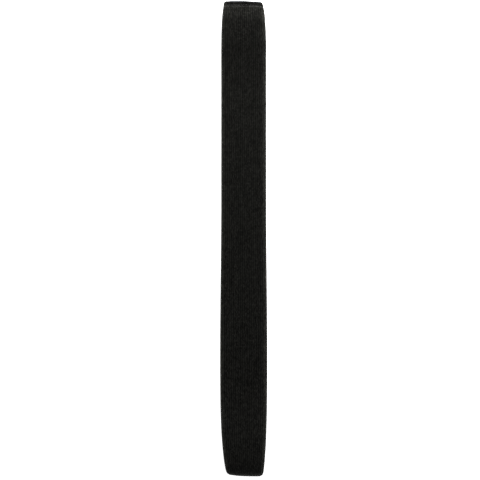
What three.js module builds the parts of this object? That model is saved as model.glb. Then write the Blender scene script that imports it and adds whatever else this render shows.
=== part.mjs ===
// Sports headband, lying flat: a closed loop of padded, ribbed stretch knit folded into two leaves.
// Millimetres, +Z up. The band lies on z = 0 along Y, and its sewn join sits on the +Y fold.
//
// Every piece is a strip. Each is extruded straight, with its section drawn across the band, and then
// wrapped round the loop: u runs across the band, v out of its outer face, s along the loop.

import * as THREE from 'three';

// ---- Driving dimensions, mm ----

// The band as it lies
const flatLength = 235.9; // fold to fold, about half the relaxed girth
const bandWidth = 22; // across, between the rolled edges
const leafClearance = 0.4; // between the two leaves where they lie on each other
const eyeOpening = 5; // clear height of the hollow that each fold leaves
const eyeLength = 46; // from a fold's end to where the leaves meet
const crownDrop = 0.5; // how far the upper leaf's long edges sink below its middle

// The layers, from the face inwards
const shellThickness = 0.8;
const coreThickness = 0.6;
const liningThickness = 0.7;
const layerGap = 0.1; // clearance between one layer and the next
const coreOverhang = 0.8; // hollow left at each rolled edge, past the core
const hemWidth = 5; // face fabric turned in along each long edge
const hemGap = 0.3; // between a hem and the lining beside it

// What is sewn or printed on the inside
const stitchThickness = 0.3;
const hemStitchWidth = 3;
const gripThickness = 0.4;
const gripGap = 0.8; // between one silicone line and the next
const gripClearance = 1.3; // between a silicone line and the hem stitching beside it
const gripCrestShare = 0.625; // how much of a silicone line's width its flat crest takes

// The join
const joinAngle = 40; // degrees up from the +Y end of the fold
const joinGap = 0.9; // groove between the band's two ends, on the face
const joinThreadWidth = 0.4;
const joinThreadDepth = 0.5; // how far below the face the thread lies
const tapeThickness = 0.4;
const tapeReach = 7; // from the join to each end of the tape, along the face
const tapeInset = 0.6; // from the rolled edge's start to the tape's side
const tapeStitchWidth = 0.8;
const tapeStitchInset = 1; // from the tape's end to its stitching
const stripStart = 0.4; // clearance between the tape and the strips that end at it

// The outline from above: a slight swell, and a taper, a sideways lean and a slant at each fold
const swell = { width: 1.1, centre: -60, reach: 80 };
const topEnd = { taper: 3.2, reach: 30, shift: -0.2, slant: -0.04, round: 1.6 };
const bottomEnd = { taper: 4.2, reach: 50, shift: 0.5, slant: -0.1, round: 2.2 };

// How round a fold is, as a share of the loop's height there, and how far its arc runs past level
const foldShare = 0.475;
const foldOverrun = 60; // degrees

// Facets
const foldFacetAngle = 15; // degrees, at most, of a fold's arc
const crestFacets = 3; // over a fold's crest
const fallFacets = 7; // from the crest to where the leaves meet
const upperFacets = 10; // along the upper leaf, where it lies
const lowerFacets = 18; // along the table
const edgeSegments = 3; // half of the facets round a rolled edge
const shortestFacet = 0.3;

// ---- Sizes that follow from them ----

const leafThickness = 2 * (shellThickness + layerGap) + coreThickness;
const halfWidth = bandWidth / 2;
const edgeReach = shellThickness + coreOverhang; // across, taken by a rolled edge
const edgeLine = halfWidth - edgeReach; // where a rolled edge starts
const hemLine = halfWidth - hemWidth; // where a hem ends, and where the crown begins to fall

const coreDepth = shellThickness + layerGap;
const liningDepth = coreDepth + coreThickness + layerGap;
const gripDepth = liningDepth + liningThickness + layerGap;
const stitchDepth = Math.max(leafThickness + layerGap, gripDepth);
const tapeStitchDepth = stitchDepth + tapeThickness + layerGap;
const innermost = Math.max(gripDepth + gripThickness, stitchDepth + stitchThickness);

const gripRoom = 2 * (hemLine - hemStitchWidth / 2 - gripClearance);
const gripWidth = (gripRoom - 2 * gripGap) / 3;

const restHeight = 2 * innermost + leafClearance; // face of the upper leaf, where it lies
const crestHeight = 2 * innermost + eyeOpening; // face of the upper leaf, over a fold's hollow
const foldRadius = foldShare * crestHeight;

// ---- The loop's side outline: the face of the band, in the (y, z) plane ----

const foldCentre = new THREE.Vector2(flatLength / 2 - foldRadius, foldRadius);
const tableEnd = new THREE.Vector2(foldCentre.x, 0); // where the lower leaf leaves the table
const overrun = THREE.MathUtils.degToRad(foldOverrun);
const arcEnd = new THREE.Vector2(foldRadius, 0).rotateAround(new THREE.Vector2(), overrun).add(foldCentre);
const crestRise = crestHeight - arcEnd.y;
const crestHandle = new THREE.Vector2(arcEnd.x - crestRise * Math.tan(overrun), crestHeight);
const crest = new THREE.Vector2(2 * crestHandle.x - arcEnd.x, crestHeight);
const meeting = new THREE.Vector2(flatLength / 2 - eyeLength, restHeight);
const fallHandle = (crest.x - meeting.x) / 2;

function mirrored(point) {
  return new THREE.Vector2(-point.x, point.y);
}

// A stretch of a fold's arc, between two angles in degrees, and its number of facets.
function foldArc(centre, from, to) {
  const [start, end] = [from, to].map(THREE.MathUtils.degToRad);
  const arc = new THREE.EllipseCurve(centre.x, centre.y, foldRadius, foldRadius, start, end);
  return [arc, Math.ceil((to - from) / foldFacetAngle)];
}

// The points that carry the face over a fold's crest and down to where the leaves meet.
function crestPoints(place) {
  const over = [arcEnd, crestHandle, crest].map(place);
  const fall = [
    crest,
    new THREE.Vector2(crest.x - fallHandle, crest.y),
    new THREE.Vector2(meeting.x + fallHandle, meeting.y),
    meeting,
  ].map(place);
  return { over, fall };
}

// The outline starts at the join, runs along the upper leaf to the -Y fold, and comes back below.
function loopOutline() {
  const near = crestPoints((point) => point);
  const far = crestPoints(mirrored);
  const outline = new THREE.CurvePath();
  const stretches = [
    foldArc(foldCentre, joinAngle, foldOverrun),
    [new THREE.QuadraticBezierCurve(...near.over), crestFacets],
    [new THREE.CubicBezierCurve(...near.fall), fallFacets],
    [new THREE.LineCurve(meeting, mirrored(meeting)), upperFacets],
    [new THREE.CubicBezierCurve(...far.fall.reverse()), fallFacets],
    [new THREE.QuadraticBezierCurve(...far.over.reverse()), crestFacets],
    foldArc(mirrored(foldCentre), 180 - foldOverrun, 270),
    [new THREE.LineCurve(mirrored(tableEnd), tableEnd), lowerFacets],
    foldArc(foldCentre, -90, joinAngle),
  ];
  const stops = [0];
  for (const [curve, facets] of stretches) {
    outline.add(curve);
    const start = stops.at(-1);
    for (let facet = 1; facet <= facets; facet += 1) {
      stops.push(start + (curve.getLength() * facet) / facets);
    }
  }
  const length = stops.pop(); // the last stop is the first again
  return { outline, stops, length };
}

const loop = loopOutline();

// Places along the loop between two ends, with the outline's own stops between them. A place below 0
// lies on the other side of the join.
function stopsBetween(from, to) {
  const stops = [...loop.stops.map((stop) => stop - loop.length), ...loop.stops];
  const inside = stops.filter((stop) => stop > from + shortestFacet && stop < to - shortestFacet);
  return [from, ...inside, to];
}

// ---- Wrapping a straight strip round the loop ----

// 1 at the very end of the band, falling to 0 at the taper's reach.
function endShare(end, distance) {
  return Math.max(0, 1 - distance / end.reach) ** 3;
}

// What a rounded corner takes off the half width, at a distance from the end.
function cornerLoss(round, distance) {
  const short = Math.max(0, round - Math.max(0, distance));
  return round - Math.sqrt(round ** 2 - short ** 2);
}

// The band's half width, sideways shift and slant at a distance y along the table.
function outlineAt(y) {
  const end = y > 0 ? topEnd : bottomEnd;
  const distance = flatLength / 2 - Math.abs(y);
  const share = endShare(end, distance);
  const phase = Math.min(1, Math.abs(y - swell.centre) / swell.reach);
  const swelling = swell.width * Math.cos((phase * Math.PI) / 2) ** 2;
  const half = (bandWidth + swelling - end.taper * share) / 2 - cornerLoss(end.round, distance);
  return { half, shift: end.shift * share, slant: end.slant * share };
}

// How far a crowned leaf has fallen at u, away from its middle.
function crownFall(u) {
  return (crownDrop * Math.max(0, Math.abs(u) - hemLine)) / hemWidth;
}

// Puts a point of a crowned section in its place. The crown is whole on the upper leaf, and flattens
// round the folds to nothing on the leaf that lies on the table.
function wrapPoint(u, v, s) {
  const share = THREE.MathUtils.euclideanModulo(s / loop.length, 1);
  const point = loop.outline.getPoint(share);
  const tangent = loop.outline.getTangent(share);
  const outward = new THREE.Vector2(tangent.y, -tangent.x);
  const flattened = (1 - outward.y) / 2;
  const height = v + flattened * crownFall(u);
  const { half, shift, slant } = outlineAt(point.x);
  const x = shift + (u * half) / halfWidth;
  return new THREE.Vector3(x, point.x + outward.x * height + slant * x, point.y + outward.y * height);
}

// A strip of the given section, wrapped round the loop from one place to another.
function strip(section, from, to) {
  const stops = stopsBetween(from, to);
  const steps = stops.length - 1;
  const flat = section.getPoints(edgeSegments);
  const crowned = flat.map(({ x, y }) => new THREE.Vector2(x, y - crownFall(x)));
  const options = { depth: steps, steps, bevelEnabled: false };
  const geometry = new THREE.ExtrudeGeometry(new THREE.Shape(crowned), options);
  const position = geometry.getAttribute('position');
  for (let index = 0; index < position.count; index += 1) {
    const stop = stops[Math.round(position.getZ(index))];
    const placed = wrapPoint(position.getX(index), position.getY(index), stop);
    position.setXYZ(index, placed.x, placed.y, placed.z);
  }
  geometry.computeVertexNormals();
  return geometry;
}

// ---- Sections, drawn with u across and v out of the face ----

// A flat layer that follows the crown, from one depth to another.
function layerSection(half, depth, thickness) {
  const bends = half > hemLine ? [-half, -hemLine, hemLine, half] : [-half, half];
  const below = bends.map((u) => new THREE.Vector2(u, -depth - thickness));
  const above = bends.map((u) => new THREE.Vector2(u, -depth)).reverse();
  return new THREE.Shape([...below, ...above]);
}

// The face fabric: flat across the face, rolled over both long edges and turned in as hems.
function shellSection() {
  const middle = -leafThickness / 2;
  const inside = -leafThickness + shellThickness;
  const quarter = Math.PI / 2;
  const outer = [edgeReach, leafThickness / 2];
  const inner = [coreOverhang, leafThickness / 2 - shellThickness];
  const section = new THREE.Shape();
  section.moveTo(hemLine, -leafThickness);
  section.lineTo(edgeLine, -leafThickness);
  section.absellipse(edgeLine, middle, ...outer, -quarter, quarter, false);
  section.lineTo(hemLine, 0);
  section.lineTo(-hemLine, 0);
  section.lineTo(-edgeLine, 0);
  section.absellipse(-edgeLine, middle, ...outer, quarter, 3 * quarter, false);
  section.lineTo(-hemLine, -leafThickness);
  section.lineTo(-hemLine, inside);
  section.lineTo(-edgeLine, inside);
  section.absellipse(-edgeLine, middle, ...inner, 3 * quarter, quarter, true);
  section.lineTo(-hemLine, -shellThickness);
  section.lineTo(hemLine, -shellThickness);
  section.lineTo(edgeLine, -shellThickness);
  section.absellipse(edgeLine, middle, ...inner, quarter, -quarter, true);
  section.lineTo(hemLine, inside);
  section.closePath();
  return section;
}

function hemStitchSection(side) {
  const half = hemStitchWidth / 2;
  const bends = [hemLine - half, hemLine, hemLine + half].map((u) => u * side);
  const below = bends.map((u) => new THREE.Vector2(u, -stitchDepth - stitchThickness));
  const above = bends.map((u) => new THREE.Vector2(u, -stitchDepth)).reverse();
  return new THREE.Shape([...below, ...above]);
}

function gripSection(middle) {
  const half = gripWidth / 2;
  const crestHalf = half * gripCrestShare;
  return new THREE.Shape([
    new THREE.Vector2(middle - crestHalf, -gripDepth - gripThickness),
    new THREE.Vector2(middle + crestHalf, -gripDepth - gripThickness),
    new THREE.Vector2(middle + half, -gripDepth),
    new THREE.Vector2(middle - half, -gripDepth),
  ]);
}

// ---- Materials ----

const shellKnit = new THREE.MeshStandardMaterial({ color: 0x1b1b1a, roughness: 0.92, metalness: 0 });
const liningKnit = new THREE.MeshStandardMaterial({ color: 0x242423, roughness: 0.95, metalness: 0 });
const elasticWeb = new THREE.MeshStandardMaterial({ color: 0x2e2d2b, roughness: 0.85, metalness: 0 });
const sewingThread = new THREE.MeshStandardMaterial({ color: 0x161616, roughness: 0.7, metalness: 0 });
const tapeWeave = new THREE.MeshStandardMaterial({ color: 0x1f1f1f, roughness: 0.85, metalness: 0 });
const silicone = new THREE.MeshStandardMaterial({ color: 0x2a2b2c, roughness: 0.4, metalness: 0 });

// ---- The pieces ----

const headband = new THREE.Group();

function addPiece(name, geometry, material) {
  const mesh = new THREE.Mesh(geometry, material.clone());
  mesh.name = name;
  headband.add(mesh);
}

// The band: three layers whose ends meet at the join.
const bandStart = joinGap / 2;
const bandEnd = loop.length - joinGap / 2;
addPiece('outer_shell', strip(shellSection(), bandStart, bandEnd), shellKnit);
const coreSection = layerSection(edgeLine, coreDepth, coreThickness);
addPiece('elastic_core', strip(coreSection, bandStart, bandEnd), elasticWeb);
const liningSection = layerSection(hemLine - hemGap, liningDepth, liningThickness);
addPiece('inner_lining', strip(liningSection, bandStart, bandEnd), liningKnit);

// Strips on the inside run from one end of the tape round to the other.
const insideStart = tapeReach + stripStart;
const insideEnd = loop.length - insideStart;
for (const [side, name] of [[-1, 'left'], [1, 'right']]) {
  const section = hemStitchSection(side);
  addPiece(`hem_stitching_${name}`, strip(section, insideStart, insideEnd), sewingThread);
}
for (const [side, name] of [[-1, 'left'], [0, 'centre'], [1, 'right']]) {
  const section = gripSection(side * (gripWidth + gripGap));
  addPiece(`grip_strip_${name}`, strip(section, insideStart, insideEnd), silicone);
}

// The join: thread in the groove, and a tape over it on the inside, held by a row at each end.
const tapeHalf = edgeLine - tapeInset;
const threadSection = layerSection(edgeLine, joinThreadDepth, leafThickness - 2 * joinThreadDepth);
addPiece('join_thread', strip(threadSection, -joinThreadWidth / 2, joinThreadWidth / 2), sewingThread);
const tapeSection = layerSection(tapeHalf, stitchDepth, tapeThickness);
addPiece('seam_tape', strip(tapeSection, -tapeReach, tapeReach), tapeWeave);
const rowSection = layerSection(tapeHalf - tapeStitchInset, tapeStitchDepth, stitchThickness);
const rowEnd = tapeReach - tapeStitchInset;
const rowStart = rowEnd - tapeStitchWidth;
addPiece('tape_stitching_front', strip(rowSection, rowStart, rowEnd), sewingThread);
addPiece('tape_stitching_back', strip(rowSection, -rowEnd, -rowStart), sewingThread);

// The origin is the middle of the box that the band fills, on the surface that it lies on.
const box = new THREE.Box3().setFromObject(headband);
const centre = box.getCenter(new THREE.Vector3());
headband.position.set(-centre.x, -centre.y, -box.min.z);

export default headband;
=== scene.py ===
# %% [markdown]
# # A sports headband, lying flat
# A sports headband is one closed loop of soft, stretchy knit. Nothing in it is hard, so nothing in it is
# a block: the ribbed face fabric, the elastic inside it, the lining, the silicone lines and the tape over
# the join are all long strips, and threads hold them together. This lesson makes each strip flat and
# straight, where it is easy to shape, and then wraps it round the loop. Cloth simulation isn't used: a
# narrow strip that is stitched on all sides keeps the shape its maker gave it, as webbing does.

# %% Load the frame
import math

import bpy
import numpy as np
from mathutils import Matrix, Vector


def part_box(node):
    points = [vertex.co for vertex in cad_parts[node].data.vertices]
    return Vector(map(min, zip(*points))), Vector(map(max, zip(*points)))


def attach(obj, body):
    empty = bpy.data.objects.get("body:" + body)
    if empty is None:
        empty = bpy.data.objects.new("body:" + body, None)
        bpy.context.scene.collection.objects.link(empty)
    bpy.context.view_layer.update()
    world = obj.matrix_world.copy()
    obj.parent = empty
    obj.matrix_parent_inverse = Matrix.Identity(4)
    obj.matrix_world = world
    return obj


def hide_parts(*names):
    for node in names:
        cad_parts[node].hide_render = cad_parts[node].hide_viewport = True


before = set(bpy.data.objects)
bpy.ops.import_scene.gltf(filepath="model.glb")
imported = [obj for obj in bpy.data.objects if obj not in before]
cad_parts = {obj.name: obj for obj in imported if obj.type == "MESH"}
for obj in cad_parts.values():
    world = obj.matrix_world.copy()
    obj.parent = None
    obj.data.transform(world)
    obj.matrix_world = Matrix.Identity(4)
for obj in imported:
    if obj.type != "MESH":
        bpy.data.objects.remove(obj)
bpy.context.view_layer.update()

mm = 0.001
print("nodes:", ", ".join(sorted(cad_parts)))

# %% [markdown]
# ## Camera
# The band is seen from straight above through a long lens, so that its two long edges stay parallel. Its
# join points up in the picture. The lens follows from how much the picture takes in: focal length is to
# sensor width as distance is to picture width.

# %% Camera
camera_height = 900 * mm
picture_width = 238.6 * mm  # what the picture takes in, level with the folds' noses
nose_height = 5 * mm
nearest_seen = 0.01  # metres from the lens
picture_middle = (-1.85 * mm, -0.66 * mm)

bpy.ops.object.camera_add(location=(*picture_middle, camera_height), rotation=(0, 0, 0))
camera = bpy.context.object
camera.name = "camera"
camera.data.lens = camera.data.sensor_width * (camera_height - nose_height) / picture_width
camera.data.clip_start = nearest_seen
bpy.context.scene.camera = camera
print("lens in mm:", round(camera.data.lens, 1))

# %% [markdown]
# ## Sizes
# A leaf of the band is a stack: face fabric, elastic, lining, silicone and stitches, each a little deeper
# than the one before. The lower leaf lies flat on z = 0, so the lowest corner of a node's box is that
# layer's depth below the face. The sizes that no box gives are repeated here.

# %% Depths and sizes
def depth_of(node):
    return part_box(node)[0].z


core_depth = depth_of("elastic_core")
lining_depth = depth_of("inner_lining")
grip_depth = depth_of("grip_strip_centre")
stitch_depth = depth_of("hem_stitching_left")
crest_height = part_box("outer_shell")[1].z

flat_length = 235.9 * mm
band_width = 22 * mm
leaf_thickness = 2.4 * mm
shell_thickness = 0.8 * mm
core_thickness = 0.6 * mm
lining_thickness = 0.7 * mm
tape_thickness = 0.4 * mm
edge_reach = 1.6 * mm  # taken across by a rolled edge
hem_width = 5 * mm
hem_gap = 0.3 * mm
half_width = band_width / 2
edge_line = half_width - edge_reach  # where the face starts to roll over
hem_line = half_width - hem_width  # where a turned-in hem ends
print("depths in mm:", [round(d / mm, 2) for d in (core_depth, lining_depth, grip_depth, stitch_depth)])

# %% [markdown]
# ## The loop from the side
# Pressed flat, the loop has two leaves. They lie on each other in the middle, and each fold springs open
# into a small hollow. The outline of the face is built from arcs, straight lines and Bezier curves: from
# the join, over the fold's crest, down to where the leaves meet, and so on round. De Casteljau's rule,
# which takes shares between neighbouring points again and again, gives any Bezier curve in three lines.

# %% Outline of the loop
eye_length = 46 * mm  # from a fold's nose to where the leaves meet
rest_height = 6 * mm  # of the upper leaf's face where the leaves meet
fold_radius = 0.475 * crest_height
fold_overrun = 60  # degrees above level at which a fold's arc hands over to its crest
join_angle = 43  # degrees above level at which the join lies
same_place = 1e-9  # closer than this, two points of the outline are one


def bezier(points, steps):
    share = np.linspace(0, 1, steps + 1)[:, None]
    while len(points) > 1:
        points = [a + (b - a) * share for a, b in zip(points, points[1:])]
    return points[0]


def fold_arc(side, start, end, steps):
    angle = np.radians(np.linspace(start, end, steps + 1))
    centre = np.array([side * (flat_length / 2 - fold_radius), fold_radius])
    return centre + fold_radius * np.column_stack([np.cos(angle), np.sin(angle)])


def crest_line(side):
    """From the end of a fold's arc, over the crest, down to where the leaves meet."""
    start = fold_arc(1, fold_overrun, fold_overrun, 1)[0]
    run = (crest_height - start[1]) * math.tan(math.radians(fold_overrun))
    handle = np.array([start[0] - run, crest_height])
    crest = np.array([start[0] - 2 * run, crest_height])
    meeting = np.array([flat_length / 2 - eye_length, rest_height])
    reach = np.array([(crest[0] - meeting[0]) / 2, 0])
    over = bezier([start, handle, crest], 40)
    fall = bezier([crest, crest - reach, meeting + reach, meeting], 200)
    return np.vstack([over, fall]) * np.array([side, 1])


loop_line = np.vstack([
    fold_arc(1, join_angle, fold_overrun, 20),
    crest_line(1),
    crest_line(-1)[::-1],
    fold_arc(-1, 180 - fold_overrun, 270, 150),
    fold_arc(1, -90, join_angle, 130),
])


def distances(line):
    """How far along a line each of its points lies."""
    return np.concatenate([[0], np.cumsum(np.linalg.norm(np.diff(line, axis=0), axis=1))])


doubled = np.diff(distances(loop_line), prepend=-1) < same_place
loop_line = loop_line[~doubled]
loop_place = distances(loop_line)
loop_length = loop_place[-1]
print("loop along the face in mm:", round(loop_length / mm, 1))

# %% [markdown]
# ## The loop from above
# Real knit is never a perfect rectangle. This band swells a little over its lower half, narrows towards
# both folds, where the fabric is pulled round, and its folds are a little slanted, with rounded corners.
# All of that is a function of the distance along the table, so every strip can follow it.

# %% Outline from above
swell = {"width": 1.1 * mm, "centre": -60 * mm, "reach": 80 * mm}
top_end = {"taper": 2.8 * mm, "reach": 30 * mm, "shift": -0.2 * mm, "slant": -0.022, "round": 0.15 * mm}
bottom_end = {"taper": 4.2 * mm, "reach": 50 * mm, "shift": 0.5 * mm, "slant": -0.055, "round": 0.9 * mm}
rib_stand = 0.12 * mm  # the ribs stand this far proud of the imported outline


def by_end(y, key):
    return np.where(y > 0, top_end[key], bottom_end[key])


def outline_at(y):
    """The band's half width, sideways shift and slant at a distance y along the table."""
    distance = flat_length / 2 - np.abs(y)
    share = np.maximum(0, 1 - distance / by_end(y, "reach")) ** 3
    phase = np.minimum(1, np.abs(y - swell["centre"]) / swell["reach"])
    swelling = swell["width"] * np.cos(phase * math.pi / 2) ** 2
    corner = by_end(y, "round")
    short = np.maximum(0, corner - np.maximum(0, distance))
    drawn_taper = by_end(y, "taper") * share
    half = (band_width + swelling - drawn_taper) / 2 + rib_stand - short ** 2 / corner
    return half, by_end(y, "shift") * share, by_end(y, "slant") * share


looked_at = np.array([0, flat_length / 2, -flat_length / 2])
widths = 2 * outline_at(looked_at)[0]
print("width in the middle, at the join's fold and at the other, in mm:", np.round(widths / mm, 1))

# %% [markdown]
# ## Wrapping
# A flat strip has x across the band, y along the loop from the join, and z out of the face. Wrapping
# moves every vertex to its place: y picks the point on the loop's outline and the direction that points
# out of the face there, z is measured along that direction, and x becomes the width. The upper leaf is
# crowned, so its long edges sink a little. A few slow waves keep the cloth from looking machined. They
# are sums of sines that fit a whole number of times round the loop, so nothing jumps at the join. Seen
# from outside, wrapping also swaps left and right, which turns every face inside out, so it flips them.

# %% Wrapping a strip
crown_drop = 0.6 * mm
crown_power = 2.5  # how suddenly the upper leaf falls away towards its edges
centre_shift = 0.03 * mm  # the slanted folds put the box's middle about this far off
puffs = {"height": 0.15 * mm, "size": 14 * mm, "seed": 1.3}
drift = {"sideways": 0.2 * mm, "size": 25 * mm, "seed": 4.1}


def along(s):
    """Point (y, z) and outward direction on the face, at distances s from the join."""
    def point(t):
        t = np.mod(t, loop_length)
        return np.column_stack([np.interp(t, loop_place, loop_line[:, k]) for k in (0, 1)])

    step = 0.05 * mm
    tangent = point(s + step) - point(s - step)
    tangent /= np.linalg.norm(tangent, axis=1)[:, None]
    return point(s), np.column_stack([tangent[:, 1], -tangent[:, 0]])


def vertices_of(piece):
    co = np.empty(len(piece.data.vertices) * 3)
    piece.data.vertices.foreach_get("co", co)
    return co.reshape(-1, 3)


def move_vertices(piece, co):
    piece.data.vertices.foreach_set("co", np.asarray(co, np.float32).ravel())
    piece.data.update()


def waves(u, s, size, seed):
    """Smooth, repeatable unevenness between -1 and 1, with features about size across."""
    turn = 2 * math.pi * np.mod(s, loop_length) / loop_length
    rounds = loop_length / size
    total = 0
    for k in range(6):
        across = (k % 3 - 1) * u / size * 4
        total = total + np.sin(turn * round(rounds * (0.4 + 0.27 * k)) + across + seed * (k + 1) ** 2)
    return total / 6


def wrap(piece):
    u, s, v = vertices_of(piece).T
    inside_edges = 1 - (np.abs(u) / half_width) ** 4
    v = v + puffs["height"] * waves(u, s, puffs["size"], puffs["seed"]) * inside_edges
    u = u + drift["sideways"] * waves(0 * u, s, drift["size"], drift["seed"]) * inside_edges
    place, outward = along(s)
    crown = crown_drop * (1 + outward[:, 1]) / 2
    height = v - crown * (np.abs(u) / half_width) ** crown_power
    half, shift, slant = outline_at(place[:, 0])
    x = shift + u * half / half_width
    y = place[:, 0] + outward[:, 0] * height + slant * x + centre_shift
    z = place[:, 1] + outward[:, 1] * height
    move_vertices(piece, np.column_stack([x, y, z]))
    piece.data.flip_normals()


join_place = along(np.zeros(1))[0][0]
print("the join's place along the table and its height in mm:", np.round(join_place / mm, 1))

# %% [markdown]
# ## Rows along the loop
# A strip needs short faces where it bends and can do with long ones where it is straight, so the rows
# are spread by how fast the outline turns, and are closest beside the join.

# %% Rows
samples = 4000  # places at which the outline's turn is measured
averaged = 15  # neighbouring samples that share their turn
join_zone = 3 * mm  # on each side of the join, with close rows


def rows_between(start, end, straight=2.4 * mm, bent=0.45 * mm, beside_join=0.2 * mm):
    """Places along the loop from start to end, close together where the outline bends."""
    s = np.linspace(start, end, samples)
    turn = np.linalg.norm(np.gradient(along(s)[1], s, axis=0), axis=1)
    turn = np.convolve(turn, np.ones(averaged) / averaged, mode="same")
    density = 1 / straight + turn * fold_radius * (1 / bent - 1 / straight)
    near_join = np.minimum(np.abs(s), np.abs(loop_length - s)) < join_zone
    density[near_join] = np.maximum(density[near_join], 1 / beside_join)
    total = np.concatenate([[0], np.cumsum((density[1:] + density[:-1]) / 2 * np.diff(s))])
    count = int(round(total[-1]))
    return np.interp(np.linspace(0, total[-1], count + 1), total, s)


end_gap = 0.01 * mm  # from the middle of the join to either end of the band
whole_band = (end_gap, loop_length - end_gap)
band_rows = rows_between(*whole_band)
print("rows along the band:", len(band_rows))

# %% [markdown]
# ## A net of quads
# Every strip and thread here starts as Blender's grid primitive, a ready-made net of quads. Its columns
# and rows are found from the vertices' places, and then the vertices are laid out on the strip. The
# grid's own UV map goes with them. It is turned into millimetres of cloth, so that a knit drawn on it
# keeps its scale wherever the strip bends. A closed section is joined along its seam by merging doubled
# vertices, and its two ends are filled, so that no strip has a hole.

# %% Helpers for nets
merge_distance = 1e-7  # metres


def deselect_all():
    bpy.ops.object.select_all(action="DESELECT")


def select_only(piece):
    deselect_all()
    piece.select_set(True)
    bpy.context.view_layer.objects.active = piece


def net(name, columns, rows):
    """A grid of columns by rows of quads, with each vertex's column and row."""
    deselect_all()
    bpy.ops.mesh.primitive_grid_add(x_subdivisions=columns, y_subdivisions=rows, size=1)
    piece = bpy.context.object
    piece.name = piece.data.name = name
    co = vertices_of(piece)
    column = np.rint((co[:, 0] + 0.5) * columns).astype(int)
    row = np.rint((co[:, 1] + 0.5) * rows).astype(int)
    return piece, column, row


def lay_out(piece, co, cloth):
    """Moves each vertex to its place, and writes its place on the cloth into the UV map."""
    move_vertices(piece, co)
    layer = piece.data.uv_layers.active
    layer.name = "Cloth"
    corners = np.empty(len(piece.data.loops), int)
    piece.data.loops.foreach_get("vertex_index", corners)
    layer.data.foreach_set("uv", (cloth[corners] / mm).astype(np.float32).ravel())


def strip(name, section, rows, cloth):
    """A flat strip: section is its (x, z) points across, cloth each point's place on the cloth."""
    piece, column, row = net(name, len(section) - 1, len(rows) - 1)
    across, out = np.asarray(section).T
    lay_out(
        piece,
        np.column_stack([across[column], rows[row], out[column]]),
        np.column_stack([np.asarray(cloth)[column], rows[row]]),
    )
    return piece


def close_section(piece, row):
    """Joins the first column to the last, and fills the first and last rows."""
    marked = piece.data.attributes.new("end", "INT", "POINT")
    marked.data.foreach_set("value", (row == row.min()) * 1 + (row == row.max()) * 2)
    select_only(piece)
    bpy.ops.object.mode_set(mode="EDIT")
    bpy.ops.mesh.select_all(action="SELECT")
    bpy.ops.mesh.remove_doubles(threshold=merge_distance)
    for end in (1, 2):
        bpy.ops.mesh.select_all(action="DESELECT")
        bpy.ops.object.mode_set(mode="OBJECT")
        marks = np.empty(len(piece.data.vertices), int)
        piece.data.attributes["end"].data.foreach_get("value", marks)
        piece.data.vertices.foreach_set("select", marks == end)
        bpy.ops.object.mode_set(mode="EDIT")
        bpy.ops.mesh.select_mode(type="VERT")
        bpy.ops.mesh.fill(use_beauty=True)
    bpy.ops.mesh.select_all(action="SELECT")
    bpy.ops.mesh.normals_make_consistent(inside=False)
    bpy.ops.object.mode_set(mode="OBJECT")
    piece.data.attributes.remove(piece.data.attributes["end"])


def smooth(piece, angle=60):
    select_only(piece)
    bpy.ops.object.shade_smooth_by_angle(angle=math.radians(angle))


def row_numbers(columns, rows):
    return np.repeat(np.arange(rows + 1), columns + 1)


print("row of each vertex in a net of 2 by 1 quads:", row_numbers(2, 1))

# %% [markdown]
# ## The face fabric
# The outside of the band is one strip of ribbed knit. It covers the face, rolls over both long edges and
# is turned in as two hems. Its closed section is drawn with the ribbed outside first, from one hem's
# edge to the other's, and the plain inside on the way back. A rib is a rounded ridge with a sharp valley
# on each side. Ribs run along the loop, so they only need columns, and they are real geometry because
# they show along the edges and folds, where bump can't.

# %% Section of the face fabric
rib_pitch = 1.06 * mm
rib_depth = 0.3 * mm
rib_roundness = 1.9  # 2 would be a full half circle from valley to valley
rib_level = 0.7  # the part of a rib's curve that lies on the section's own line
columns_per_rib = 7


def edge_curve(side, start, end, reach, height, points):
    """Half an ellipse round a long edge of the band, between two angles in degrees."""
    angle = np.radians(np.linspace(start, end, points))
    middle = -leaf_thickness / 2
    return np.column_stack([side * edge_line + reach * np.cos(angle), middle + height * np.sin(angle)])


def evenly_spaced(line, spacing):
    """The line again with evenly spaced points, and each point's distance from its middle."""
    place = distances(line)
    middle = place[-1] / 2
    count = int(middle / spacing)
    at = np.arange(-count, count + 1) * spacing
    return np.column_stack([np.interp(at + middle, place, line[:, k]) for k in (0, 1)]), at


def shell_section():
    outer = np.vstack([
        [[hem_line, -leaf_thickness]],
        edge_curve(1, -90, 90, edge_reach, leaf_thickness / 2, 60),
        edge_curve(-1, 90, 270, edge_reach, leaf_thickness / 2, 60),
        [[-hem_line, -leaf_thickness]],
    ])
    points, cloth = evenly_spaced(outer, rib_pitch / columns_per_rib)
    tangent = np.gradient(points, axis=0)
    tangent /= np.linalg.norm(tangent, axis=1)[:, None]
    outward = np.column_stack([tangent[:, 1], -tangent[:, 0]])
    phase = np.mod(cloth / rib_pitch + 0.5, 1) - 0.5
    relief = rib_depth * (np.sqrt(1 - (rib_roundness * phase) ** 2) - rib_level)
    ribbed = points + outward * relief[:, None]
    reach, height = edge_reach - shell_thickness, leaf_thickness / 2 - shell_thickness
    across = np.linspace(-edge_line, edge_line, 14)[1:-1]
    inner = np.vstack([
        [[-hem_line, -leaf_thickness + shell_thickness]],
        edge_curve(-1, 270, 90, reach, height, 7),
        np.column_stack([across, np.full(len(across), -shell_thickness)]),
        edge_curve(1, 90, -90, reach, height, 7),
        [[hem_line, -leaf_thickness + shell_thickness]],
        ribbed[:1],
    ])
    back = cloth[-1] + distances(inner) + shell_thickness
    return np.vstack([ribbed, inner]), np.concatenate([cloth, back]), np.ptp(cloth)


section, cloth, face_width = shell_section()
face = strip("face_fabric", section, band_rows, cloth)
close_section(face, row_numbers(len(section) - 1, len(band_rows) - 1))
print("section points:", len(section), " faces:", len(face.data.polygons))

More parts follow.
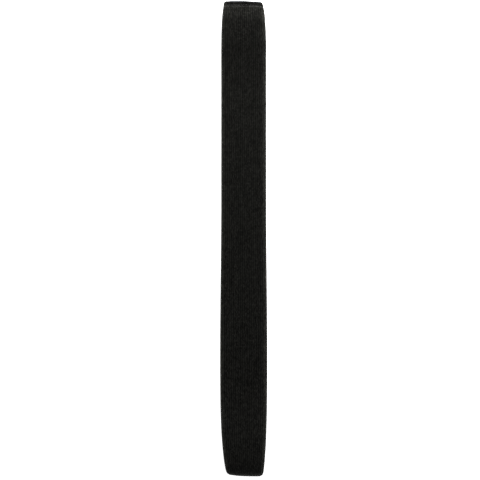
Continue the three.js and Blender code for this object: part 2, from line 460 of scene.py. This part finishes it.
# %% [markdown]
# ## Lips of the join
# Where the loop is sewn shut, each end of the band is drawn in by the thread. The face swells into a low
# lip, then rolls down into the groove, and the stitches pinch it at even steps. Whatever lies under the
# face is pressed down with it, less and less with depth, so one function serves the face and the
# elastic. The lining lies too deep to be moved.

# %% Lips of the join
lip_height = 0.35 * mm
lip_place = 2.1 * mm
lip_reach = 1.2 * mm
roll_depth = 0.95 * mm
roll_start = 1.75 * mm
groove_half = 0.85 * mm
groove_middle = 0.75 * mm  # the groove leans this far towards the crest
pinch_depth = 0.3 * mm
stitch_pitch = 1.9 * mm
drawn_depth = 1.5 * mm  # how far below the face the drawing-in reaches


def tightness(u):
    """The seam isn't drawn in evenly: it is tightest just right of the middle."""
    return 0.8 + 0.2 * np.sin(u / (3.1 * mm) + 1.1) + 0.15 * np.sin(u / (1.3 * mm) + 0.6)


def from_groove(s):
    return np.abs(np.where(s > loop_length / 2, s - loop_length, s) - groove_middle)


def draw_in(piece):
    u, s, v = vertices_of(piece).T
    distance = from_groove(s)
    share = np.clip(1 + v / drawn_depth, 0, 1)
    swelling = lip_height * np.exp(-(((distance - lip_place) / lip_reach) ** 2))
    into = np.clip((roll_start - distance) / (roll_start - groove_half), 0, 1)
    roll = roll_depth * tightness(u) * (1 - np.sqrt(1 - into ** 2))
    even_steps = (1 + np.cos(2 * math.pi * u / stitch_pitch)) / 2
    pinch = pinch_depth * even_steps * np.exp(-((distance / lip_reach) ** 2))
    move_vertices(piece, np.column_stack([u, s, v + share * (swelling - roll - pinch)]))


across_band = np.linspace(-edge_line, edge_line, 5)
print("tightness of the seam from left to right:", np.round(tightness(across_band), 2))

# %% [markdown]
# ## Where the knit is painted lighter and darker
# Black knit isn't equally black all over. Along the long edges, further in on the right, the side the fill
# light comes from, and on the face beside the seam, where the lip faces the light from beyond the join, the
# colour is painted lighter, a painted sheen and highlight. Down in the seam's groove, where the stitches
# are pulled tight, it is painted darker, a painted shade. Each is a number per vertex, stored as an
# attribute while the strip is still flat, and the material reads it.

# %% Painted sheen and painted groove shade
def mark(piece, name, values):
    attribute = piece.data.attributes.new(name, "FLOAT", "POINT")
    attribute.data.foreach_set("value", np.asarray(values, np.float32))


full_sheen = 1.3 * mm  # this far past the edge line, the painted sheen is at its most
lip_highlight = {"share": 0.22, "place": 4 * mm, "reach": 3 * mm}

u, s, v = vertices_of(face).T
distance = from_groove(s)
sheen_reach = np.where(u > 0, 1.5 * mm, 0.6 * mm)  # the painted sheen reaches further in on the right edge, the side the fill light comes from
# Painted sheen along the long edges, standing in for the glow of their fuzz at a glancing angle
painted_sheen = np.clip((np.abs(u) - edge_line + sheen_reach) / (sheen_reach + full_sheen), 0, 1) ** 2
# A painted highlight beside the seam, where the lip faces the light from beyond the join
beside_lip = np.exp(-(((distance - lip_highlight["place"]) / lip_highlight["reach"]) ** 2))
painted_sheen = painted_sheen + lip_highlight["share"] * beside_lip * (v > -leaf_thickness / 2)
# Painted shade down in the seam's groove, where the stitches are pulled tight
groove_shade_reach = 1.1 * mm * tightness(u)
darkness = np.clip(2 * tightness(u) - 0.95, 0, 1)  # the painted groove shade is full only where the seam is tight
groove_shade = darkness * np.exp(-((distance / groove_shade_reach) ** 4))
mark(face, "PaintedSheen", painted_sheen)
mark(face, "GrooveShade", groove_shade)
draw_in(face)
wrap(face)
smooth(face)
print("rubbed vertices:", int((painted_sheen > 0.5).sum()), " pressed:", int((groove_shade > 0.5).sum()))

# %% [markdown]
# ## Elastic and lining
# The elastic and the lining are plain strips. Each is a net as wide as the strip, and a Solidify modifier
# gives it its thickness, as a tailor would say how heavy a cloth is.

# %% Elastic and lining
def plain_strip(name, half, depth, thickness, span, columns):
    across = np.linspace(-half, half, columns + 1)
    section = np.column_stack([across, np.full(columns + 1, -depth)])
    piece = strip(name, section, rows_between(*span), across)
    select_only(piece)
    solidify = piece.modifiers.new("thickness", "SOLIDIFY")
    solidify.thickness = thickness
    solidify.offset = -1
    bpy.ops.object.modifier_apply(modifier=solidify.name)
    return piece


elastic = plain_strip("elastic", edge_line, core_depth, core_thickness, whole_band, 40)
draw_in(elastic)
lining_half = hem_line - hem_gap
lining = plain_strip("lining", lining_half, lining_depth, lining_thickness, whole_band, 24)
for piece in (elastic, lining):
    wrap(piece)
    smooth(piece)
print("elastic and lining faces:", len(elastic.data.polygons), len(lining.data.polygons))

# %% [markdown]
# ## Silicone lines
# Three thin lines of silicone on the lining keep the band from sliding. Silicone is laid on wet, so a
# line has a flat foot, a domed top and no sharp edge. It stops short of the tape.

# %% Silicone lines
tape_reach = 7 * mm
tape_clearance = 0.4 * mm
inside_start = tape_reach + tape_clearance
grip_width = 1.6 * mm
grip_height = 0.4 * mm
grip_gap = 0.8 * mm


def silicone_line(name, middle):
    rows = rows_between(inside_start, loop_length - inside_start, straight=1.6 * mm)
    angle = np.radians(np.linspace(0, -360, 19))
    dome = -np.maximum(0, -np.sin(angle)) ** 0.8 * grip_height
    section = np.column_stack([middle + grip_width / 2 * np.cos(angle), dome - grip_depth])
    piece = strip(name, section, rows, middle + angle * grip_width / 4)
    close_section(piece, row_numbers(len(section) - 1, len(rows) - 1))
    wrap(piece)
    smooth(piece)
    return piece


silicone_lines = {}
for side, name in ((-1, "left"), (0, "centre"), (1, "right")):
    silicone_lines[name] = silicone_line("silicone_" + name, side * (grip_width + grip_gap))
print("silicone faces:", [len(line.data.polygons) for line in silicone_lines.values()])

# %% [markdown]
# ## Threads
# A thread is a net rolled into a thin tube round a route of flat points. It has only six sides, because
# the same small shape comes back hundreds of times. A zigzag stitch holds each hem down: it lies on the
# cloth along a leg and dips into it at every turn.

# %% Thread and hem stitches
thread_radius = 0.13 * mm
thread_sides = 6
zigzag_half = 1.3 * mm
zigzag_step = 1.1 * mm


def thread(name, route, radius=thread_radius):
    """A round thread along flat (across, along, out) points, wrapped round the loop."""
    piece, column, row = net(name, thread_sides, len(route) - 1)
    forward = np.gradient(route, axis=0)
    forward /= np.linalg.norm(forward, axis=1)[:, None]
    sideways = np.cross(forward, [0, 0, 1])
    sideways /= np.linalg.norm(sideways, axis=1)[:, None]
    upwards = np.cross(sideways, forward)
    angle = column * 2 * math.pi / thread_sides
    ring = np.cos(angle)[:, None] * sideways[row] + np.sin(angle)[:, None] * upwards[row]
    cloth = np.column_stack([angle * radius, distances(route)[row]])
    lay_out(piece, route[row] + radius * ring, cloth)
    close_section(piece, row)
    wrap(piece)
    smooth(piece, 80)
    return piece


def zigzag(middle, points_per_leg=4):
    """The route of a stitch that swings across a line along the loop, from one tape end to the other."""
    legs = int((loop_length - 2 * inside_start) / zigzag_step)
    phase = np.arange(legs * points_per_leg + 1) / points_per_leg
    side = 1 - 2 * np.abs(np.mod(phase, 2) - 1)
    lift = np.sin(math.pi * np.mod(phase, 1)) ** 0.5
    out = -(stitch_depth - thread_radius) - 2 * thread_radius * lift
    return np.column_stack([middle + zigzag_half * side, inside_start + phase * zigzag_step, out])


hem_threads = {}
for side, name in ((-1, "left"), (1, "right")):
    hem_threads[name] = thread("hem_thread_" + name, zigzag(side * hem_line))
print("hem thread faces:", [len(piece.data.polygons) for piece in hem_threads.values()])

# %% [markdown]
# ## Tape over the join
# A short woven tape covers the join on the inside, so that it doesn't rub the forehead. It is as plain
# as the lining, only firmer, and a row of stitches near each end holds it down.

# %% Tape and its stitches
tape_half = edge_line - 0.6 * mm
stitch_hump = 0.2 * mm  # how much higher a stitch's middle is than its ends
tape_span = (-tape_reach, tape_reach)
tape = plain_strip("join_tape", tape_half, stitch_depth, tape_thickness, tape_span, 24)
wrap(tape)
smooth(tape)


def to_and_fro(middle, half, depth, reach, pitch, points_per_turn=8):
    """The route of a stitch across the band, which swings from one side of a line to the other."""
    turns = int(2 * half / pitch)
    phase = np.arange(turns * points_per_turn + 1) / points_per_turn
    across = (phase - turns / 2) * pitch
    swing = np.sin(2 * math.pi * phase)
    out = -depth - stitch_hump * np.abs(swing) ** 3
    return np.column_stack([across, middle + reach * swing, out])


row_place = tape_reach - 1.4 * mm
row_half = tape_half - 1 * mm
row_reach = 0.4 * mm
row_pitch = 1.6 * mm
row_depth = stitch_depth + tape_thickness
tape_rows = {}
for side, name in ((1, "front"), (-1, "back")):
    route = to_and_fro(side * row_place, row_half, row_depth, row_reach, row_pitch)
    route[:, 2] = 2 * -row_depth - route[:, 2] - stitch_hump  # turned over: its humps point inwards
    tape_rows[name] = thread("tape_stitches_" + name, route)
row_faces = [len(row.data.polygons) for row in tape_rows.values()]
print("tape faces:", len(tape.data.polygons), " rows' faces:", row_faces)

# %% [markdown]
# ## Stitches of the join
# The join's own thread lies at the bottom of the groove and bites into a lip at every swing.

# %% Stitches of the join
join_depth = 0.62 * mm
join_half = edge_line - 0.4 * mm
join_middle = 0.3 * mm
join_reach = 0.9 * mm
join_route = to_and_fro(join_middle, join_half, join_depth, join_reach, stitch_pitch)
join_stitches = thread("join_stitches", join_route)
print("join stitch faces:", len(join_stitches.data.polygons))

# %% [markdown]
# ## Knit as a shader
# The band's three knits differ in scale and colour, not in kind, so they share one node group. It works
# on millimetres of cloth. A wale is a column of stitches, a course is a row of them, and a stitch shows
# as a V, because the course is bent by the distance from the wale's middle. From that come a height, for
# bump, and a tone. Every leg of every V also gets a number of its own, as no two catch light alike.

# %% Knit node group
def maths(tree, operation, *values):
    """A Math node, fed by sockets or by plain numbers."""
    node = tree.nodes.new("ShaderNodeMath")
    node.operation = operation
    for socket, value in zip(node.inputs, values):
        if isinstance(value, bpy.types.NodeSocket):
            tree.links.new(value, socket)
        else:
            socket.default_value = value
    return node.outputs[0]


def ridges(tree, place, spacing):
    """The height of round yarns that lie side by side, one for every spacing."""
    turn = maths(tree, "MULTIPLY", maths(tree, "DIVIDE", place, spacing), math.pi)
    return maths(tree, "ABSOLUTE", maths(tree, "SINE", turn))


def noise(tree, vector, scale, detail):
    node = tree.nodes.new("ShaderNodeTexNoise")
    node.inputs["Scale"].default_value = scale
    node.inputs["Detail"].default_value = detail
    tree.links.new(vector, node.inputs["Vector"])
    return node.outputs["Fac"]


def combined(tree, x, y):
    node = tree.nodes.new("ShaderNodeCombineXYZ")
    tree.links.new(x, node.inputs[0])
    tree.links.new(y, node.inputs[1])
    return node.outputs[0]


def new_group(name, inputs, outputs):
    """An empty shader node group with a Cloth input, numbers with their defaults, and outputs."""
    tree = bpy.data.node_groups.new(name, "ShaderNodeTree")
    tree.interface.new_socket("Cloth", in_out="INPUT", socket_type="NodeSocketVector")
    for label, value in inputs.items():
        socket = tree.interface.new_socket(label, in_out="INPUT", socket_type="NodeSocketFloat")
        socket.default_value = value
    for label in outputs:
        tree.interface.new_socket(label, in_out="OUTPUT", socket_type="NodeSocketFloat")
    start = tree.nodes.new("NodeGroupInput").outputs
    end = tree.nodes.new("NodeGroupOutput").inputs
    split = tree.nodes.new("ShaderNodeSeparateXYZ")
    tree.links.new(start["Cloth"], split.inputs[0])
    return tree, start, end, split.outputs[0], split.outputs[1]


def knit_group():
    inputs = {
        "Wale": 1.06, "Course": 0.75, "Slope": 1.5, "ValleyShade": 0.85, "Uneven": 1.15,
        "PaintedSheen": 0, "GrooveShade": 0,
    }
    tree, start, end, across, length = new_group("knit_stitches", inputs, ("Height", "Tone"))

    # Where in its wale and its course a point is
    wale = maths(tree, "ADD", maths(tree, "DIVIDE", across, start["Wale"]), 0.5)
    in_wale = maths(tree, "SUBTRACT", maths(tree, "FRACT", wale), 0.5)
    from_middle = maths(tree, "ABSOLUTE", in_wale)
    wander = maths(tree, "MULTIPLY", noise(tree, start["Cloth"], 0.25, 2), 1.6)
    course = maths(tree, "ADD", maths(tree, "DIVIDE", length, start["Course"]), wander)
    course = maths(tree, "ADD", course, maths(tree, "MULTIPLY", from_middle, start["Slope"]))

    # Round yarns: high in the middle of a course and of a leg, low between wales
    yarn = maths(tree, "POWER", ridges(tree, course, 1), 0.7)
    leg = ridges(tree, in_wale, 0.5)
    body = maths(tree, "MULTIPLY", yarn, maths(tree, "MULTIPLY_ADD", leg, 0.6, 0.4))

    # Fibres run along the yarn, so they are stretched along a course
    strand = combined(tree, across, maths(tree, "MULTIPLY", course, 5))
    fibres = noise(tree, strand, 1.5, 2)
    tree.links.new(maths(tree, "MULTIPLY_ADD", fibres, 0.35, body), end["Height"])

    # A tone for every leg, with painted shade in the valleys and where the yarn lies low, painted sheen
    # along the edges and beside the seam, and painted shade in the seam's groove
    half_wale = maths(tree, "FLOOR", maths(tree, "MULTIPLY", wale, 2))
    own_cell = combined(tree, half_wale, maths(tree, "FLOOR", course))
    own = tree.nodes.new("ShaderNodeTexWhiteNoise")
    own.noise_dimensions = "2D"
    tree.links.new(own_cell, own.inputs["Vector"])
    off_middle = maths(tree, "SUBTRACT", own.outputs["Value"], 0.5)
    own_light = maths(tree, "MULTIPLY_ADD", off_middle, start["Uneven"], 1)
    # Painted shade: darker in the valleys between wales and where the yarn lies low between courses
    depth = maths(tree, "POWER", maths(tree, "MULTIPLY", from_middle, 2), 2)
    valley_shade = maths(tree, "SUBTRACT", 1, maths(tree, "MULTIPLY", depth, start["ValleyShade"]))
    tone = maths(tree, "MULTIPLY", maths(tree, "MULTIPLY_ADD", body, 0.7, 0.3), valley_shade)
    tone = maths(tree, "MULTIPLY", tone, own_light)
    patches = maths(tree, "SUBTRACT", noise(tree, start["Cloth"], 0.45, 3), 0.5)
    tone = maths(tree, "MULTIPLY", tone, maths(tree, "MULTIPLY_ADD", patches, 1.1, 1))
    # Painted sheen and highlight: lighter where the mark of the edges and the lip is high
    tone = maths(tree, "MULTIPLY", tone, maths(tree, "MULTIPLY_ADD", start["PaintedSheen"], 2.2, 1))
    # Painted shade: darker down in the seam's groove
    kept = maths(tree, "SUBTRACT", 1, maths(tree, "MULTIPLY", start["GrooveShade"], 0.85))
    tree.links.new(maths(tree, "MULTIPLY", tone, kept), end["Tone"])
    return tree


knit_stitches = knit_group()
print("knit group nodes:", len(knit_stitches.nodes))

# %% [markdown]
# ## Cloth materials
# A cloth material mixes a dark and a light shade of its colour by the group's tone, and bumps its surface
# by the group's height. Black polyester throws back hardly any light straight on, so its mirror
# reflection is turned down, and a little sheen stands for the fuzz that glows at a glancing angle.

# %% Cloth materials
def cloth_material(name, group, settings, dark, light, relief, sheen, masks=()):
    material = bpy.data.materials.new(name)
    material.use_nodes = True
    tree = material.node_tree
    shader = tree.nodes["Principled BSDF"]
    shader.inputs["Roughness"].default_value = 0.9
    shader.inputs["Specular IOR Level"].default_value = 0.02
    shader.inputs["Sheen Weight"].default_value = sheen
    shader.inputs["Sheen Roughness"].default_value = 0.3

    cloth_map = tree.nodes.new("ShaderNodeUVMap")
    cloth_map.uv_map = "Cloth"
    pattern = tree.nodes.new("ShaderNodeGroup")
    pattern.node_tree = group
    tree.links.new(cloth_map.outputs[0], pattern.inputs["Cloth"])
    for label, value in settings.items():
        pattern.inputs[label].default_value = value
    for label in masks:
        attribute = tree.nodes.new("ShaderNodeAttribute")
        attribute.attribute_name = label
        tree.links.new(attribute.outputs["Fac"], pattern.inputs[label])

    colour = tree.nodes.new("ShaderNodeMix")
    colour.data_type = "RGBA"
    colour.clamp_factor = False
    colour.inputs["A"].default_value = (*dark, 1)
    colour.inputs["B"].default_value = (*light, 1)
    tree.links.new(pattern.outputs["Tone"], colour.inputs["Factor"])
    tree.links.new(colour.outputs["Result"], shader.inputs["Base Color"])

    bump = tree.nodes.new("ShaderNodeBump")
    bump.inputs["Distance"].default_value = relief
    tree.links.new(pattern.outputs["Height"], bump.inputs["Height"])
    tree.links.new(bump.outputs[0], shader.inputs["Normal"])
    return material


# The face knit takes its painted sheen and its painted groove shade from the face's attributes
face_knit = cloth_material(
    "face_knit", knit_stitches, {}, (0.0002, 0.0002, 0.00016), (0.0098, 0.0098, 0.0086),
    relief=0.12 * mm, sheen=0.16, masks=("PaintedSheen", "GrooveShade"),
)
wicking_knit = cloth_material(
    "wicking_knit", knit_stitches, {"Wale": 0.6, "Course": 0.45, "ValleyShade": 0.5, "Uneven": 0.8},
    (0.004, 0.004, 0.004), (0.024, 0.024, 0.0235), relief=0.06 * mm, sheen=0.2,
)
elastic_knit = cloth_material(
    "elastic_knit", knit_stitches, {"Wale": 1.2, "Course": 0.6, "Slope": 0.3, "Uneven": 0.5},
    (0.006, 0.006, 0.006), (0.03, 0.03, 0.028), relief=0.1 * mm, sheen=0.05,
)
print("cloth materials:", [material.name for material in (face_knit, wicking_knit, elastic_knit)])

# %% [markdown]
# ## Tape and thread materials
# The tape is woven in twill: each yarn goes over two and under two, one step further along in every row,
# which draws fine diagonal lines. A sewing thread is two strands twisted together, so it shows slanting
# stripes too. One group draws both, because both are stripes whose slant can be set.

# %% Tape and thread materials
def stripe_group():
    inputs = {"Stripe": 0.5, "Slant": 1.0, "Yarn": 0.25, "Crossing": 0.5}
    tree, start, end, across, length = new_group("slanted_yarns", inputs, ("Height", "Tone"))
    slanted = maths(tree, "MULTIPLY_ADD", across, start["Slant"], length)
    crossing = maths(tree, "MULTIPLY", ridges(tree, across, start["Yarn"]), start["Crossing"])
    height = maths(tree, "ADD", ridges(tree, slanted, start["Stripe"]), crossing)
    tree.links.new(height, end["Height"])
    uneven = maths(tree, "MULTIPLY_ADD", noise(tree, start["Cloth"], 1.2, 3), 1.2, 0.4)
    tree.links.new(maths(tree, "MULTIPLY", height, uneven), end["Tone"])
    return tree


slanted_yarns = stripe_group()
tape_twill = cloth_material(
    "tape_twill", slanted_yarns, {"Stripe": 0.5, "Slant": 1.0, "Yarn": 0.25, "Crossing": 0.5},
    (0.004, 0.004, 0.004), (0.018, 0.018, 0.018), relief=0.05 * mm, sheen=0.1,
)
thread_twist = cloth_material(
    "thread_twist", slanted_yarns, {"Stripe": 0.3, "Slant": 0.8, "Yarn": 1, "Crossing": 0},
    (0.002, 0.002, 0.002), (0.009, 0.009, 0.0085), relief=0.03 * mm, sheen=0.1,
)
thread_shader = thread_twist.node_tree.nodes["Principled BSDF"].inputs
thread_shader["Roughness"].default_value = 0.55
thread_shader["Specular IOR Level"].default_value = 0.12
print("slanted yarns group nodes:", len(slanted_yarns.nodes))

# %% [markdown]
# ## Silicone material
# Silicone is smooth and slightly cloudy, and it holds dust. Soft noise makes some patches duller than
# others, and a finer one gives it the faint skin of a poured surface.

# %% Silicone material
silicone = bpy.data.materials.new("silicone")
silicone.use_nodes = True
tree = silicone.node_tree
shader = tree.nodes["Principled BSDF"].inputs
place = tree.nodes.new("ShaderNodeTexCoord").outputs["Object"]
dust = noise(tree, place, 900, 3)
tree.links.new(maths(tree, "MULTIPLY_ADD", dust, 0.5, 0.12), shader["Roughness"])
shade = tree.nodes.new("ShaderNodeMix")
shade.data_type = "RGBA"
shade.inputs["A"].default_value = (0.008, 0.008, 0.009, 1)
shade.inputs["B"].default_value = (0.045, 0.045, 0.046, 1)
tree.links.new(maths(tree, "POWER", dust, 2), shade.inputs["Factor"])
tree.links.new(shade.outputs["Result"], shader["Base Color"])
skin = tree.nodes.new("ShaderNodeBump")
skin.inputs["Distance"].default_value = 0.03 * mm
tree.links.new(noise(tree, place, 2500, 2), skin.inputs["Height"])
tree.links.new(skin.outputs[0], shader["Normal"])
print("silicone material nodes:", len(tree.nodes))

# %% [markdown]
# ## Each piece's finish and place in the imported model
# The band has no joints, so every piece rides on its one body. Each piece stands for its own imported node,
# which is only a plain solid. The face fabric was cut as wide as its section is long on the outside, and
# every strip is as long as the loop is halfway down a leaf. The join's stitches lie in the face, and the
# tape, its stitches, the hem threads and the silicone lines are on the lining.

# %% Finishes and nodes
def finish(piece, material, node):
    piece.data.materials.clear()
    piece.data.materials.append(material)
    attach(piece, "root")
    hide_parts(node)


finish(face, face_knit, "outer_shell")
finish(elastic, elastic_knit, "elastic_core")
finish(lining, wicking_knit, "inner_lining")
finish(tape, tape_twill, "seam_tape")
finish(join_stitches, thread_twist, "join_thread")
for name, piece in silicone_lines.items():
    finish(piece, silicone, "grip_strip_" + name)
for name, piece in hem_threads.items():
    finish(piece, thread_twist, "hem_stitching_" + name)
for name, piece in tape_rows.items():
    finish(piece, thread_twist, "tape_stitching_" + name)

# %% [markdown]
# ## Floor and light
# The band lies on a white light table. Its glow lights the rolled edges from below and washes the shadow
# out. A key light and a low kicker stand beyond the join, so the light fades from the join to the other
# fold and models the lip. A fill on the right lights that edge, and a weak bounce lights the nose of the
# other fold. The lamps don't show themselves. The room looks white, but it lights the band only weakly.

# %% Floor and light
floor_size = 6  # metres
floor_drop = 0.2 * mm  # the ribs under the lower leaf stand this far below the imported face

bpy.ops.mesh.primitive_plane_add(size=floor_size, location=(0, 0, -floor_drop))
floor = bpy.context.object
floor.name = "floor"
floor_white = bpy.data.materials.new("floor_white")
floor_white.use_nodes = True
floor_shader = floor_white.node_tree.nodes["Principled BSDF"].inputs
floor_shader["Base Color"].default_value = (0.9, 0.9, 0.9, 1)
floor_shader["Roughness"].default_value = 0.7
floor_shader["Emission Color"].default_value = (1, 1, 1, 1)
floor_shader["Emission Strength"].default_value = 0.8
floor.data.materials.append(floor_white)


def lamp(name, place, size, power):
    """A square area light at a place, facing the middle of the floor."""
    bpy.ops.object.light_add(type="AREA", location=place)
    light = bpy.context.object
    light.name = name
    light.data.size = size
    light.data.energy = power
    light.rotation_euler = light.location.to_track_quat("Z", "Y").to_euler()
    light.visible_camera = False


lamp("key", (0.03, 0.42, 0.22), 0.2, 4.3)
lamp("kicker", (0.02, 0.25, 0.11), 0.1, 0.35)
lamp("fill", (0.6, 0.05, 0.25), 0.5, 2.2)
lamp("bounce", (-0.2, -0.42, 0.07), 0.3, 1.1)
world = bpy.data.worlds.new("studio")
bpy.context.scene.world = world
world.use_nodes = True
background = world.node_tree.nodes["Background"].inputs
background["Color"].default_value = (1, 1, 1, 1)
room_light = 0.3
seen_directly = world.node_tree.nodes.new("ShaderNodeLightPath").outputs["Is Camera Ray"]
strength = maths(world.node_tree, "MULTIPLY_ADD", seen_directly, 1 - room_light, room_light)
world.node_tree.links.new(strength, background["Strength"])
bpy.context.scene.view_settings.view_transform = "Standard"
